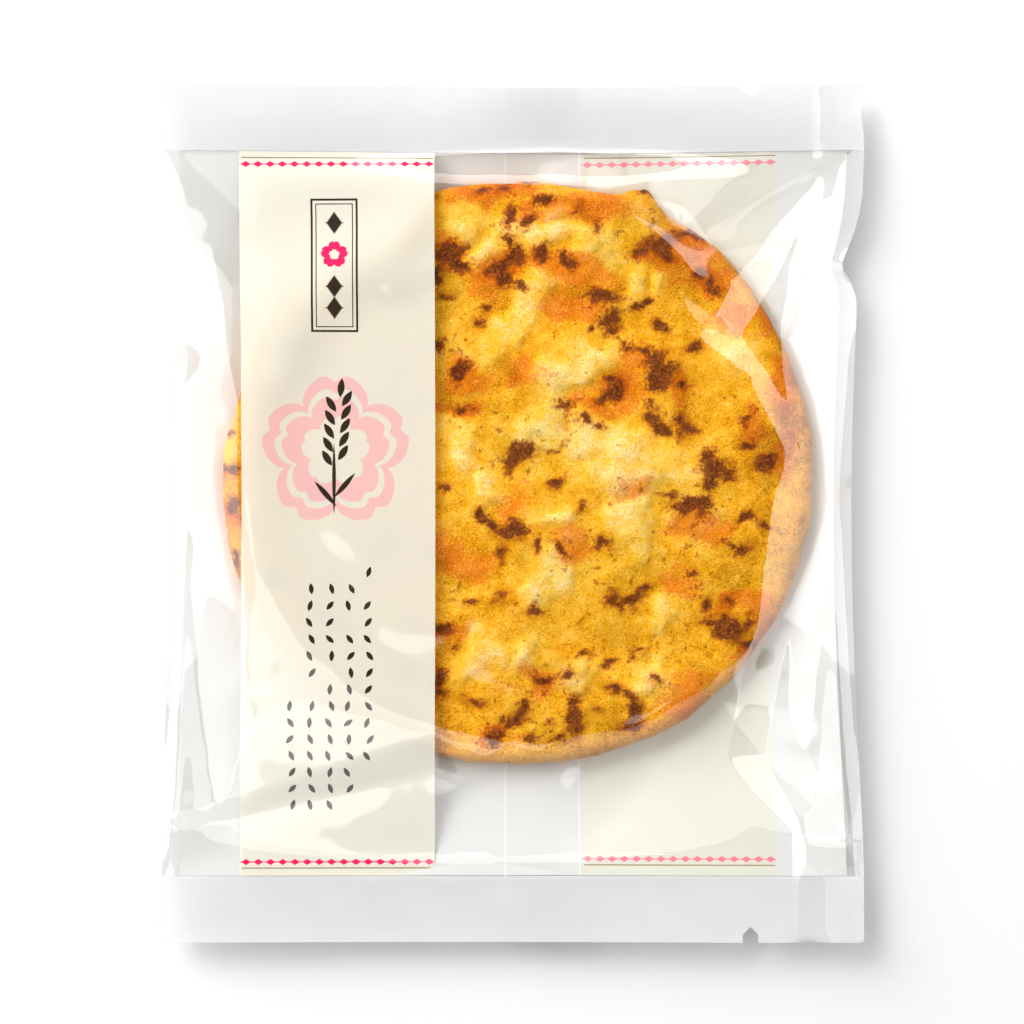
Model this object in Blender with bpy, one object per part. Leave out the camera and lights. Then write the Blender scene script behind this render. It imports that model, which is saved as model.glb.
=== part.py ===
"""A large rice cracker sealed in a clear film pack, lying on its back, as one closed solid.

The pack is a tube of film. Its two ends are sealed flat and cut straight, with a small tear
notch in each, and the seam down its back is a fin folded flat. The round cracker holds the
tube open, so the body is flat above and below the cracker. All round it the film runs down
to the end seals and to the side folds, which are drawn in a little and kinked.
The frame is in metres: +Y is the top end, +Z faces the viewer, and z = 0 is the table.
"""

import math

import bmesh
import bpy

PACK_WIDTH = 0.1304
PACK_LENGTH = 0.1596
PACK_HEIGHT = 0.0096
SEAL_LENGTH = 0.0123
EDGE_LEVEL = 0.0050
EDGE_THICKNESS = 0.0006

CRACKER_X = 0.0010
CRACKER_Y = 0.0072
TOP_FLAT_RADIUS = 0.048
BASE_FLAT_RADIUS = 0.046

SIDE_DRAW = {1: 0.0023, -1: 0.0010}
BOW_POWER = 1.5
SIDE_KINKS = (
    # side, y, depth, reach above, reach below
    (1, 0.0460, 0.0036, 0.0150, 0.0080),
    (1, 0.0745, 0.0009, 0.0040, 0.0050),
    (-1, 0.0294, 0.0016, 0.0130, 0.0080),
    (-1, 0.0735, 0.0006, 0.0040, 0.0050),
)
KINK_BITE = 10

FIN_LEFT = -0.0015
FIN_RIGHT = 0.0124
FIN_THICKNESS = 0.0005
FIN_STEP = 0.0003

COLUMNS = 36
ROWS = 44
NOTCH_X = 0.0441
NOTCH_WIDTH = 0.0032
NOTCH_DEPTH = 0.0028
NOTCH_STRAIGHT = 0.0020

HALF_WIDTH = PACK_WIDTH / 2
HALF_LENGTH = PACK_LENGTH / 2
HALF_BODY = HALF_LENGTH - SEAL_LENGTH


def clear_scene():
    for obj in list(bpy.data.objects):
        bpy.data.objects.remove(obj, do_unlink=True)


def new_collection(name):
    collection = bpy.data.collections.new(name)
    bpy.context.scene.collection.children.link(collection)
    return collection


def film_material():
    """Clear film over a white backing print, as it reads from a distance."""
    material = bpy.data.materials.new("printed_film")
    material.use_nodes = True
    shader = material.node_tree.nodes["Principled BSDF"]
    shader.inputs["Base Color"].default_value = (0.86, 0.80, 0.66, 1.0)
    shader.inputs["Roughness"].default_value = 0.22
    shader.inputs["Metallic"].default_value = 0.0
    return material


def side_bow(side, y):
    """How far the full pack draws a side fold in at this height, without its kinks."""
    return SIDE_DRAW[side] * max(0.0, 1 - (y / HALF_BODY) ** 2) ** BOW_POWER


def side_draw(side, y):
    """How far a side fold is drawn in at this height: a shallow bow, with a cusp at each kink."""
    bow = side_bow(side, y)
    for kink_side, kink_y, depth, above, below in SIDE_KINKS:
        reach = above if y > kink_y else below
        nearness = max(0.0, 1 - abs(y - kink_y) / reach)
        if kink_side == side:
            bow += depth * nearness**2
    return bow


def across(column, y):
    """World x of a column of the flat tube, given its x while the tube lay flat."""
    side = 1 if column > 0 else -1
    share = abs(column) / HALF_WIDTH
    plain = side_bow(side, y)
    kinked = side_draw(side, y) - plain
    return column - side * (plain * share + kinked * share**KINK_BITE)


def puff(x, y, flat_radius):
    """0 at the folds and seals, 1 over the flat round the cracker's middle, and convex between."""
    side = 1 if x > 0 else -1
    to_fold = max(0.0, HALF_WIDTH - side_draw(side, y) - abs(x))
    to_seal = max(0.0, HALF_BODY - abs(y))
    if to_fold == 0 or to_seal == 0:
        return 0.0
    to_edge = (to_fold**-3 + to_seal**-3) ** (-1 / 3)
    to_flat = max(0.0, math.hypot(x - CRACKER_X, y - CRACKER_Y) - flat_radius)
    return math.sin(math.pi / 2 * to_edge / (to_edge + to_flat))


def front_z(x, y):
    lowest = EDGE_LEVEL + EDGE_THICKNESS / 2
    return lowest + (PACK_HEIGHT - lowest) * puff(x, y, TOP_FLAT_RADIUS)


def back_z(x, y, on_fin):
    """The back film, with the folded fin standing below it wherever it is clear of the table."""
    highest = EDGE_LEVEL - EDGE_THICKNESS / 2
    level = highest * (1 - puff(x, y, BASE_FLAT_RADIUS))
    return max(0.0, level - FIN_THICKNESS) if on_fin else level


def column_places():
    """Evenly spaced columns, with a pair close together at each edge of the back fin."""
    step = PACK_WIDTH / COLUMNS
    fin_edges = (FIN_LEFT, FIN_RIGHT)
    even = [i * step - HALF_WIDTH for i in range(COLUMNS + 1)]
    clear = [x for x in even if min(abs(x - edge) for edge in fin_edges) > step / 3]
    pairs = [FIN_LEFT - FIN_STEP, FIN_LEFT, FIN_RIGHT, FIN_RIGHT + FIN_STEP]
    return sorted(clear + pairs)


def row_places():
    """Evenly spaced rows over the body, and three across each end seal."""
    step = 2 * HALF_BODY / ROWS
    body = [i * step - HALF_BODY for i in range(ROWS + 1)]
    seal = [HALF_BODY + SEAL_LENGTH * i / 3 for i in (1, 2, 3)]
    return sorted([-y for y in seal] + body + seal)


def pack_solid(collection):
    """A sheet of quads, extruded once so that it closes, then shaped into front and back film."""
    columns = column_places()
    rows = row_places()
    bm = bmesh.new()
    bmesh.ops.create_grid(bm, x_segments=len(columns) - 1, y_segments=len(rows) - 1, size=0.5)
    front = list(bm.verts)
    places = {}
    for vertex in front:
        column = columns[round((vertex.co.x + 0.5) * (len(columns) - 1))]
        y = rows[round((vertex.co.y + 0.5) * (len(rows) - 1))]
        places[vertex] = (column, y)
        x = across(column, y)
        vertex.co = (x, y, front_z(x, y))
    made = bmesh.ops.extrude_face_region(bm, geom=bm.faces[:])["geom"]
    back = [item for item in made if isinstance(item, bmesh.types.BMVert)]
    column_at = {(round(v.co.x, 7), round(v.co.y, 7)): places[v][0] for v in front}
    for vertex in back:
        x, y = vertex.co.x, vertex.co.y
        column = column_at[(round(x, 7), round(y, 7))]
        vertex.co.z = back_z(x, y, FIN_LEFT <= column <= FIN_RIGHT)
    bmesh.ops.recalc_face_normals(bm, faces=bm.faces[:])
    mesh = bpy.data.meshes.new("cracker_pack")
    bm.to_mesh(mesh)
    bm.free()
    mesh.shade_smooth()
    mesh.set_sharp_from_angle(angle=math.radians(40))
    pack = bpy.data.objects.new("cracker_pack", mesh)
    collection.objects.link(pack)
    pack.data.materials.append(film_material())
    return pack


def notch_cutter(name, end, straight, collection):
    """A pointed tab that stands across an end seal: end is 1 at the top and -1 at the bottom."""
    curve = bpy.data.curves.new(name, "CURVE")
    curve.dimensions = "2D"
    curve.fill_mode = "BOTH"
    curve.extrude = EDGE_LEVEL / 2
    outline = curve.splines.new("POLY")
    half = NOTCH_WIDTH / 2
    beyond = -NOTCH_DEPTH
    corners = [(-half, beyond), (half, beyond), (half, straight), (0, NOTCH_DEPTH), (-half, straight)]
    outline.points.add(len(corners) - 1)
    for point, (x, inward) in zip(outline.points, corners):
        point.co = (NOTCH_X + x, end * (HALF_LENGTH - inward), 0, 1)
    outline.use_cyclic_u = True
    flat = bpy.data.objects.new(name + "_outline", curve)
    collection.objects.link(flat)
    bpy.context.view_layer.update()
    mesh = bpy.data.meshes.new_from_object(flat.evaluated_get(bpy.context.evaluated_depsgraph_get()))
    bpy.data.objects.remove(flat, do_unlink=True)
    bm = bmesh.new()
    bm.from_mesh(mesh)
    bmesh.ops.remove_doubles(bm, verts=bm.verts[:], dist=1e-6)
    bmesh.ops.recalc_face_normals(bm, faces=bm.faces[:])
    bmesh.ops.translate(bm, verts=bm.verts[:], vec=(0, 0, EDGE_LEVEL))
    bm.to_mesh(mesh)
    bm.free()
    cutter = bpy.data.objects.new(name, mesh)
    collection.objects.link(cutter)
    cutter.hide_render = True
    cutter.display_type = "WIRE"
    return cutter


def cut(target, cutter):
    modifier = target.modifiers.new(cutter.name, "BOOLEAN")
    modifier.operation = "DIFFERENCE"
    modifier.solver = "EXACT"
    modifier.object = cutter


clear_scene()
pack_parts = new_collection("rice_cracker_pack")
cutters = new_collection("cutters")
pack = pack_solid(pack_parts)
cut(pack, notch_cutter("top_notch", 1, 0.0, cutters))
cut(pack, notch_cutter("bottom_notch", -1, NOTCH_STRAIGHT, cutters))
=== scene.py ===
import math

import bpy
import mathutils
import numpy as np
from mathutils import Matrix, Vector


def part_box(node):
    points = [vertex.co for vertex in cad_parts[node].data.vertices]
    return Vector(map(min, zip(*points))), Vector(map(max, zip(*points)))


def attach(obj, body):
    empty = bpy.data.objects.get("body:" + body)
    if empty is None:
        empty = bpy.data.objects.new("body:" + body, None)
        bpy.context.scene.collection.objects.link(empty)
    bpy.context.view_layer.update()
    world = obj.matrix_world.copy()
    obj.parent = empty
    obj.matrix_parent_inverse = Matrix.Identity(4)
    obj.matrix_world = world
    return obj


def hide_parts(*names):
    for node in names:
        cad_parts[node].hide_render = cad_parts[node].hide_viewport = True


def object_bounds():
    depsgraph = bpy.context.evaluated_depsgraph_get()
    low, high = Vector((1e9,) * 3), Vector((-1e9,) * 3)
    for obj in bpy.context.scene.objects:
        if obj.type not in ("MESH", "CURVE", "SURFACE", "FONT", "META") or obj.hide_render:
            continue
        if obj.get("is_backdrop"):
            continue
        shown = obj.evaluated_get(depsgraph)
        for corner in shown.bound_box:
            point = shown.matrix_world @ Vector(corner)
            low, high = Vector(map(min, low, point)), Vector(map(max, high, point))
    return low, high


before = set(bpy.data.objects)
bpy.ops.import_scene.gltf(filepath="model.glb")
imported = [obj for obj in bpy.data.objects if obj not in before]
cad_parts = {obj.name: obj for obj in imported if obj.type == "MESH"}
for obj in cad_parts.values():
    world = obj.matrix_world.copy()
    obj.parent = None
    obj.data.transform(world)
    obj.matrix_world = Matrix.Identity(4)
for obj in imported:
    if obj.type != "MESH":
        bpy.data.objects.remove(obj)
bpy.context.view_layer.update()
pack_low, pack_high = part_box("cracker_pack")
PACK_WIDTH = pack_high[0] - pack_low[0]
PACK_LENGTH = pack_high[1] - pack_low[1]


# The table is a sheet of plain white board, wide enough for its edges to stay out of sight.
# It is not part of the object.
def add_node(tree, kind, inputs=None, **settings):
    """Adds a shader node. An input, by name or by number, takes a value or another node's socket."""
    made = tree.nodes.new(kind)
    for name, value in settings.items():
        setattr(made, name, value)
    for name, value in (inputs or {}).items():
        if isinstance(value, bpy.types.NodeSocket):
            tree.links.new(value, made.inputs[name])
        else:
            made.inputs[name].default_value = value
    return made


def new_material(name):
    """A material with an empty node tree and its output node."""
    material = bpy.data.materials.new(name)
    material.use_nodes = True
    material.node_tree.nodes.clear()
    output = material.node_tree.nodes.new("ShaderNodeOutputMaterial")
    return material, material.node_tree, output.inputs["Surface"]


bpy.ops.object.select_all(action="DESELECT")
bpy.ops.mesh.primitive_plane_add(size=8, location=(0, 0, pack_low[2]))
table = bpy.context.object
table.name = "white_table"
board, tree, surface = new_material("white_board")
board_shader = add_node(
    tree, "ShaderNodeBsdfPrincipled", {"Base Color": (0.76, 0.76, 0.76, 1), "Roughness": 0.7}
)
tree.links.new(board_shader.outputs[0], surface)
table.data.materials.append(board)
table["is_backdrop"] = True

# The studio is a tent of white cloth with a large soft light at the upper left and weaker panels
# round it. Its roof is open above the pack, so film that lies flat mirrors only the dark opening.
bpy.context.scene.view_settings.view_transform = "Standard"
tent = bpy.data.worlds.new("light_tent")
bpy.context.scene.world = tent
tent.use_nodes = True
tree = tent.node_tree
tree.nodes.clear()
place = add_node(tree, "ShaderNodeTexCoord")
height = add_node(tree, "ShaderNodeSeparateXYZ", {0: place.outputs["Generated"]})
opening = add_node(tree, "ShaderNodeValToRGB", {0: height.outputs["Z"]})
opening.color_ramp.elements[0].position = 0.90
opening.color_ramp.elements[0].color = (0.80, 0.80, 0.80, 1)
opening.color_ramp.elements[1].position = 0.94
opening.color_ramp.elements[1].color = (0.10, 0.10, 0.10, 1)
cloth = add_node(tree, "ShaderNodeBackground", {"Color": opening.outputs[0], "Strength": 0.12})
tree.links.new(cloth.outputs[0], add_node(tree, "ShaderNodeOutputWorld").inputs["Surface"])

SOFT_LIGHTS = (
    # name, azimuth, elevation, distance, width, height, radiance, all aimed at the pack
    ("key_light", 133, 30, 1.3, 1.00, 1.10, 7.2),
    ("left_panel", 190, 55, 1.3, 0.90, 0.70, 1.5),
    ("right_panel", 8, 55, 1.3, 1.05, 1.00, 1.4),
    ("front_panel", 275, 59, 1.4, 0.90, 0.95, 0.6),
    ("high_corner_panel", 238, 75, 1.3, 0.32, 0.42, 0.9),
    ("far_panel", 88, 36, 1.3, 0.50, 0.45, 1.5),
)
WATTS_PER_RADIANCE = 4  # for each square metre of a panel
for name, azimuth, elevation, distance, width, height, radiance in SOFT_LIGHTS:
    turn = math.radians(azimuth)
    rise = math.radians(elevation)
    bpy.ops.object.light_add(type="AREA")
    panel = bpy.context.object
    panel.name = name
    panel.location = (
        distance * math.cos(turn) * math.cos(rise),
        distance * math.sin(turn) * math.cos(rise),
        distance * math.sin(rise),
    )
    panel.rotation_euler = (math.pi / 2 - rise, 0, turn + math.pi / 2)
    panel.data.shape = "RECTANGLE"
    panel.data.size = width
    panel.data.size_y = height
    panel.data.energy = radiance * WATTS_PER_RADIANCE * width * height
    panel.visible_camera = False

# The camera looks straight down on the pack.
CAMERA_PLACE = (-0.0002, 0.0002, 0.534)
bpy.ops.object.camera_add(location=CAMERA_PLACE, rotation=(0, 0, 0))
camera = bpy.context.object
camera.name = "camera"
camera.data.lens = 100
camera.data.sensor_width = 36
camera.data.clip_start = 0.01
bpy.context.scene.camera = camera

# The cracker is a disc of pounded rice dough, baked by hand over charcoal while it is pressed and
# turned, then brushed with soy. It is about 7 mm thick, warped, blistered and scorched in spots.
CRACKER_X = 0.0010
CRACKER_Y = 0.0073
CRACKER_RADIUS = 0.0551
CRACKER_THICKNESS = 0.0054
CRACKER_LEVEL = 0.0046
CRACKER_REST = 0.0008
RIM_ROUNDING = 0.0027
MESH_SPACING = 0.00052
OUTLINE_SWELLS = (
    # direction in degrees, half width in degrees, metres outwards
    (66, 4.0, 0.0030),
    (48, 9.0, 0.0008),
    (88, 16.0, -0.0007),
    (-12, 8.0, -0.0003),
    (-55, 7.0, 0.0005),
    (-92, 22.0, -0.0008),
    (-165, 14.0, 0.0006),
    (166, 9.0, -0.0007),
)
bpy.ops.object.select_all(action="DESELECT")
bpy.ops.mesh.primitive_cylinder_add(
    vertices=240,
    radius=CRACKER_RADIUS,
    depth=CRACKER_THICKNESS,
    location=(CRACKER_X, CRACKER_Y, CRACKER_LEVEL),
)
cracker = bpy.context.object
cracker.name = "rice_cracker"
bpy.ops.object.transform_apply(location=True, rotation=True, scale=True)


def apply_modifier(piece, name, kind, **settings):
    """Adds a modifier to the piece with these settings, and applies it."""
    modifier = piece.modifiers.new(name, kind)
    for setting, value in settings.items():
        setattr(modifier, setting, value)
    bpy.context.view_layer.objects.active = piece
    bpy.ops.object.modifier_apply(modifier=name)


apply_modifier(
    cracker, "rim", "BEVEL", width=RIM_ROUNDING, segments=5, limit_method="ANGLE", angle_limit=1.0
)
for vertex in cracker.data.vertices:
    x = vertex.co.x - CRACKER_X
    y = vertex.co.y - CRACKER_Y
    direction = math.degrees(math.atan2(y, x))
    swell = 0
    for centre, half_width, outwards in OUTLINE_SWELLS:
        apart = (direction - centre + 180) % 360 - 180
        swell += outwards * math.exp(-((apart / half_width) ** 2))
    stretch = 1 + swell / CRACKER_RADIUS
    vertex.co.x = CRACKER_X + x * stretch
    vertex.co.y = CRACKER_Y + y * stretch
apply_modifier(cracker, "even_mesh", "REMESH", mode="VOXEL", voxel_size=MESH_SPACING)

# Each patch is an ellipse on the face of the cracker: centre x and y, half length and half width,
# all in millimetres from the pack's centre, and the turn of its length in degrees.
SCORCHED = (
    (-11.8, 48.2, 2.9, 1.7, 10), (-10.2, 46.0, 2.2, 1.2, -40), (-14.2, 44.4, 1.9, 1.6, 50),
    (-12.5, 40.2, 1.0, 0.5, 0), (-4.6, 37.8, 1.0, 0.6, 50), (-6.2, 35.0, 1.0, 0.8, 30),
    (-1.0, 50.6, 0.9, 0.8, 0), (0.8, 48.0, 1.8, 1.4, 110), (-2.6, 45.4, 2.9, 1.3, 25),
    (-1.8, 44.0, 1.6, 1.4, 0), (-1.2, 42.6, 1.4, 0.8, 20), (1.4, 42.2, 1.1, 0.6, -20),
    (5.5, 48.2, 1.3, 1.0, 60), (10.4, 46.8, 1.6, 1.0, -40), (5.5, 57.6, 1.9, 0.7, 15),
    (-0.5, 55.2, 1.4, 1.1, 45), (2.6, 54.0, 1.7, 0.6, 40), (-5.4, 60.2, 1.5, 0.6, 8),
    (-1.4, 60.0, 1.2, 0.7, -10), (2.6, 61.4, 1.6, 0.4, 0), (11.6, 56.6, 0.8, 0.5, 20),
    (15.6, 53.1, 0.7, 0.5, 80), (16.8, 40.3, 2.9, 1.1, -3), (17.6, 35.7, 1.9, 1.4, 15),
    (18.7, 34.0, 1.1, 0.9, 0), (14.6, 34.0, 0.6, 0.4, 90), (22.5, 38.2, 1.0, 0.7, 60),
    (24.6, 38.9, 1.0, 0.5, 10), (27.6, 34.3, 1.4, 0.9, -50), (23.8, 48.4, 1.2, 0.7, 20),
    (27.0, 49.9, 2.9, 1.4, 15), (28.4, 47.8, 1.8, 1.1, -40), (31.3, 52.2, 1.6, 0.5, 20),
    (34.0, 51.2, 1.6, 0.4, -25), (34.5, 44.1, 0.9, 0.6, 30), (36.2, 43.1, 0.9, 0.7, 0),
    (37.0, 41.7, 1.2, 0.7, -30), (25.0, 60.3, 1.9, 0.8, -6), (21.3, 30.8, 0.9, 0.5, 10),
    (24.0, 30.3, 1.6, 0.5, 0), (33.6, 30.8, 1.7, 0.6, 15), (26.6, 28.4, 2.0, 1.3, 30),
    (27.6, 26.2, 2.4, 1.6, 20), (27.0, 24.0, 1.8, 1.2, 30), (18.0, 25.0, 1.2, 0.7, -30),
    (19.2, 22.9, 2.0, 1.3, 60), (17.0, 21.4, 1.8, 0.9, 20), (9.3, 20.1, 1.3, 0.6, 0),
    (12.8, 17.6, 1.2, 0.6, -10), (16.0, 16.2, 0.8, 0.4, -30), (31.2, 23.8, 1.2, 0.7, 0),
    (25.2, 20.6, 0.5, 0.4, 90), (26.0, 17.4, 1.5, 1.3, 100), (27.4, 15.9, 1.7, 0.9, -20),
    (31.3, 17.4, 1.2, 1.0, 80), (32.6, 15.7, 1.5, 1.0, -35), (31.4, 14.0, 0.8, 0.5, 90),
    (43.6, 17.5, 0.9, 0.6, 60), (43.4, 12.4, 1.2, 0.6, 10), (47.0, 9.3, 2.0, 1.2, 20),
    (36.0, 10.4, 1.8, 1.0, 40), (37.8, 8.2, 2.9, 1.7, -10), (36.7, 5.6, 1.8, 1.2, 80),
    (40.0, 6.8, 1.1, 0.7, 40), (-9.6, 26.4, 1.9, 1.1, 30), (-13.9, 31.2, 1.0, 0.7, 20),
    (-9.2, 19.1, 1.6, 0.6, 10), (1.2, 11.2, 2.4, 1.3, 10), (0.0, 9.4, 1.9, 1.2, 60),
    (6.9, 11.4, 2.2, 0.15, 22), (10.2, 13.8, 1.5, 0.12, 40), (8.2, 5.8, 1.4, 0.7, 30),
    (12.6, 0.9, 0.8, 0.4, 40), (-12.8, 4.8, 0.9, 0.6, -20), (-5.6, -0.5, 1.3, 0.9, -40),
    (-3.9, -2.0, 1.4, 0.7, -50), (-1.4, -3.7, 1.8, 1.1, 0), (0.4, -2.8, 2.0, 1.6, 0),
    (-2.2, -7.2, 1.2, 0.8, 80), (-2.0, -9.3, 0.8, 0.4, 60), (4.6, -5.8, 1.2, 0.6, 90),
    (16.5, -5.5, 1.2, 1.0, 60), (8.8, -6.4, 1.3, 0.5, -50), (29.2, 3.2, 1.2, 0.5, 0),
    (30.6, 1.2, 1.8, 0.9, -10), (33.6, 1.9, 2.2, 0.8, -5), (35.4, 1.4, 1.2, 1.6, 0),
    (43.4, -0.9, 1.8, 0.7, 20), (46.9, -2.1, 0.6, 0.8, 0), (41.0, -6.0, 0.9, 0.4, -30),
    (43.0, -7.0, 1.2, 0.8, 20), (39.4, -4.9, 0.5, 0.3, 0), (33.4, -11.2, 0.9, 0.7, 0),
    (18.4, -15.9, 1.3, 1.1, 60), (19.6, -17.2, 1.1, 0.8, -50), (22.0, -15.9, 2.0, 0.7, 8),
    (24.5, -14.3, 1.0, 0.6, 20), (22.8, -17.5, 0.35, 0.3, 0), (3.9, -18.4, 1.0, 0.9, 30),
    (-1.7, -14.9, 0.8, 0.6, 0), (-7.4, -16.9, 0.8, 0.4, 0), (-3.4, -16.8, 0.5, 0.3, 30),
    (-12.6, -21.6, 1.4, 0.9, 0), (-10.9, -24.6, 0.6, 0.3, 0), (-14.0, -31.0, 1.6, 1.1, 60),
    (-13.6, -33.4, 0.8, 0.6, 0), (-7.0, -34.8, 1.7, 0.6, -20), (1.7, -36.2, 1.7, 0.7, 70),
    (0.8, -38.2, 1.9, 1.0, 30), (-2.2, -38.4, 1.1, 0.5, 10), (-3.3, -41.3, 1.8, 1.4, 30),
    (3.3, -41.8, 0.8, 0.6, 0), (6.6, -39.0, 0.5, 0.3, 0), (8.4, -42.0, 1.5, 0.6, 10),
    (9.9, -30.2, 1.2, 0.8, 20), (5.4, -31.0, 1.7, 0.7, -15), (11.4, -38.0, 2.8, 1.5, 85),
    (11.2, -36.0, 1.4, 0.9, 90), (19.2, -32.4, 1.4, 0.6, -10), (21.6, -34.0, 1.5, 0.6, -50),
    (23.1, -36.4, 1.9, 0.9, -70), (22.0, -39.4, 2.0, 0.8, 20), (15.6, -36.8, 0.6, 0.5, 0),
    (26.6, -30.8, 1.0, 0.6, -30), (17.6, -27.6, 1.0, 0.6, 10), (13.2, -26.3, 0.9, 0.5, 30),
    (22.2, -27.0, 0.7, 0.5, 0), (23.6, -25.2, 0.8, 0.4, 0), (36.3, -17.2, 1.1, 0.8, 100),
    (36.8, -20.4, 1.5, 0.8, 0), (38.8, -19.6, 1.4, 0.9, 20), (40.2, -21.7, 2.6, 1.8, -25),
    (43.4, -20.6, 1.3, 0.9, 60), (43.6, -24.2, 1.6, 0.5, -10), (40.4, -16.4, 0.8, 0.6, 0),
    (-52.6, 8.2, 1.2, 0.8, 0), (-53.0, 14.9, 1.0, 0.5, 10), (-51.8, 1.4, 1.4, 1.0, 80),
    (-51.6, -8.8, 1.6, 0.6, 100), (-41.0, 30.0, 3.0, 1.8, 30), (-30.0, 22.0, 2.6, 1.5, 80),
    (-36.0, 4.0, 2.4, 1.8, 0), (-24.0, -6.0, 3.0, 1.4, 40), (-33.0, -20.0, 2.8, 1.6, -30),
    (-22.0, 40.0, 3.1, 1.6, 10), (-44.0, -12.0, 1.6, 1.2, 0), (-20.0, -30.0, 2.2, 1.3, 60),
)
TOASTED = (
    (9.5, 38.9, 3.8, 2.4, 0), (13.5, 39.6, 2.8, 1.6, 0), (33.0, 48.4, 5.0, 3.4, -35),
    (36.0, 43.4, 4.2, 3.0, -35), (20.4, 24.0, 4.6, 2.8, 60), (23.4, 29.0, 3.4, 1.8, 0),
    (15.0, 19.4, 4.0, 2.0, 20), (43.6, 15.4, 2.2, 3.4, 0), (33.4, -2.4, 4.2, 3.2, 0),
    (-9.0, -9.2, 4.6, 2.2, -15), (-13.8, -6.6, 2.6, 3.0, 0), (1.2, 2.4, 3.0, 2.2, 40),
    (11.0, -6.4, 4.2, 2.2, -10), (42.0, -17.6, 4.4, 2.4, 10), (33.0, -33.5, 6.5, 4.0, 40),
    (5.6, -31.6, 3.6, 2.2, -20), (-12.4, -21.6, 3.0, 2.2, 0), (-3.4, 45.0, 6.0, 3.6, 25),
    (2.4, 54.8, 4.8, 2.2, 35), (-3.0, 59.6, 9.0, 2.2, 6), (13.0, 57.0, 8.0, 3.0, -8),
    (3.0, 26.2, 4.4, 3.0, 0), (-9.2, 19.4, 3.2, 1.8, 0), (31.0, -13.0, 2.8, 2.2, 0),
    (21.8, 4.8, 3.0, 2.2, 0), (28.0, 49.0, 4.4, 3.0, 0), (31.4, 23.8, 3.2, 1.6, 0),
    (-11.6, 47.6, 4.0, 3.4, 0), (5.4, 48.0, 2.2, 2.0, 0), (-9.0, 26.0, 3.4, 2.2, 0),
    (45.4, -22.0, 2.2, 5.0, -40), (-13.6, -31.4, 2.6, 3.2, 0), (-3.0, -41.2, 3.4, 2.4, 0),
    (9.4, 44.4, 8.0, 2.4, -10), (-51.9, 1.2, 2.0, 3.2, 0), (-52.6, 8.0, 2.0, 1.6, 0),
    (-38.0, 28.0, 8.0, 5.0, 20), (-30.0, -12.0, 7.0, 5.0, -30), (40.5, 36.0, 2.4, 4.0, 40),
    (50.0, 22.0, 2.4, 6.0, 10), (50.5, 12.0, 2.2, 5.0, 0), (46.0, 35.0, 1.8, 2.4, 30),
)
# The pale patches are partly the crust's paler swellings and partly painted highlights where light
# catches its blisters. They also raise the blisters.
PALE_AND_HIGHLIT = (
    (3.0, 51.5, 7.0, 3.0, 5), (-9.0, 54.0, 4.0, 2.2, 20), (17.0, 49.0, 4.0, 3.0, -20),
    (11.3, 25.6, 8.0, 3.6, 25), (12.6, 25.4, 5.0, 2.4, 20), (6.9, 16.7, 4.6, 3.8, 10),
    (-0.2, 35.6, 8.5, 2.4, 50), (12.9, 49.4, 2.4, 4.0, 10), (22.7, 9.0, 9.5, 5.6, 0),
    (-4.5, 3.6, 3.2, 2.2, 40), (8.6, -2.0, 2.4, 3.0, 60), (22.2, -2.6, 3.4, 6.0, 0),
    (7.2, -12.6, 3.2, 5.0, -20), (-6.1, -26.8, 4.4, 3.2, 10), (-5.6, 49.3, 3.0, 2.2, 0),
    (31.0, -1.4, 1.4, 1.8, 0), (23.0, 42.0, 2.6, 2.2, 0), (29.0, 43.0, 1.2, 2.4, 0),
    (15.0, 13.0, 6.0, 3.0, 10), (-9.0, 12.0, 3.0, 5.0, 20), (4.5, 41.0, 3.4, 3.0, 20),
    (13.0, -31.6, 3.4, 2.2, 0), (24.8, -31.0, 4.6, 2.8, 0), (41.6, 29.0, 5.0, 3.6, 20),
    (1.5, -26.0, 2.4, 3.4, 10), (29.0, -19.6, 3.6, 2.8, 60), (8.2, 55.8, 2.6, 1.4, 0),
    (-53.2, 11.8, 1.2, 2.2, 0), (-53.4, 5.0, 1.2, 1.8, 0), (-30.0, 34.0, 8.0, 5.0, 0),
    (-27.0, 8.0, 5.0, 8.0, 0), (-40.0, -4.0, 5.0, 7.0, 20), (-24.0, -20.0, 6.0, 4.0, 0),
)


FAR_FROM_PATCHES = -1.5


def patch_field(x, y, patches, fade, growth=1.0):
    """How deep each point (in millimetres) lies in its nearest patch, and under 0 outside them all.

    Past an outline the depth falls by fade for each millimetre. Growth makes every patch larger.
    """
    depth = np.full(len(x), FAR_FROM_PATCHES)
    for centre_x, centre_y, half_length, half_width, turn in patches:
        cos = math.cos(math.radians(turn))
        sin = math.sin(math.radians(turn))
        along = (x - centre_x) * cos + (y - centre_y) * sin
        across = (y - centre_y) * cos - (x - centre_x) * sin
        apart = np.hypot(along / half_length, across / half_width) / growth
        size = math.sqrt(half_length * half_width) * growth
        strength = min(1, 0.4 + 0.4 * size)
        in_patch = np.where(apart < 1, (1 - apart) * strength, (1 - apart) * size * fade)
        depth = np.maximum(depth, in_patch)
    return depth


def wander(x, y, lump, reach, seed):
    """Moves points (in millimetres) aside by a random field, so a patch drawn with them is ragged.

    Lump is how wide the field's lumps are, and reach is the furthest that a point moves.
    """
    moved = np.empty((len(x), 2))
    for index, (across, along) in enumerate(zip(x / lump, y / lump)):
        pull = mathutils.noise.noise_vector((across, along, seed))
        moved[index] = pull.x, pull.y
    return x + moved[:, 0] * reach, y + moved[:, 1] * reach


def places_of(piece):
    """The piece's vertices as an array of points, in metres."""
    places = np.empty(len(piece.data.vertices) * 3)
    piece.data.vertices.foreach_get("co", places)
    return places.reshape(-1, 3)


def keep_field(piece, name, values):
    """Stores one number for each vertex under a name that the piece's material can read."""
    field = piece.data.attributes.new(name, "FLOAT", "POINT")
    field.data.foreach_set("value", values.astype(np.float32))


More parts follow.
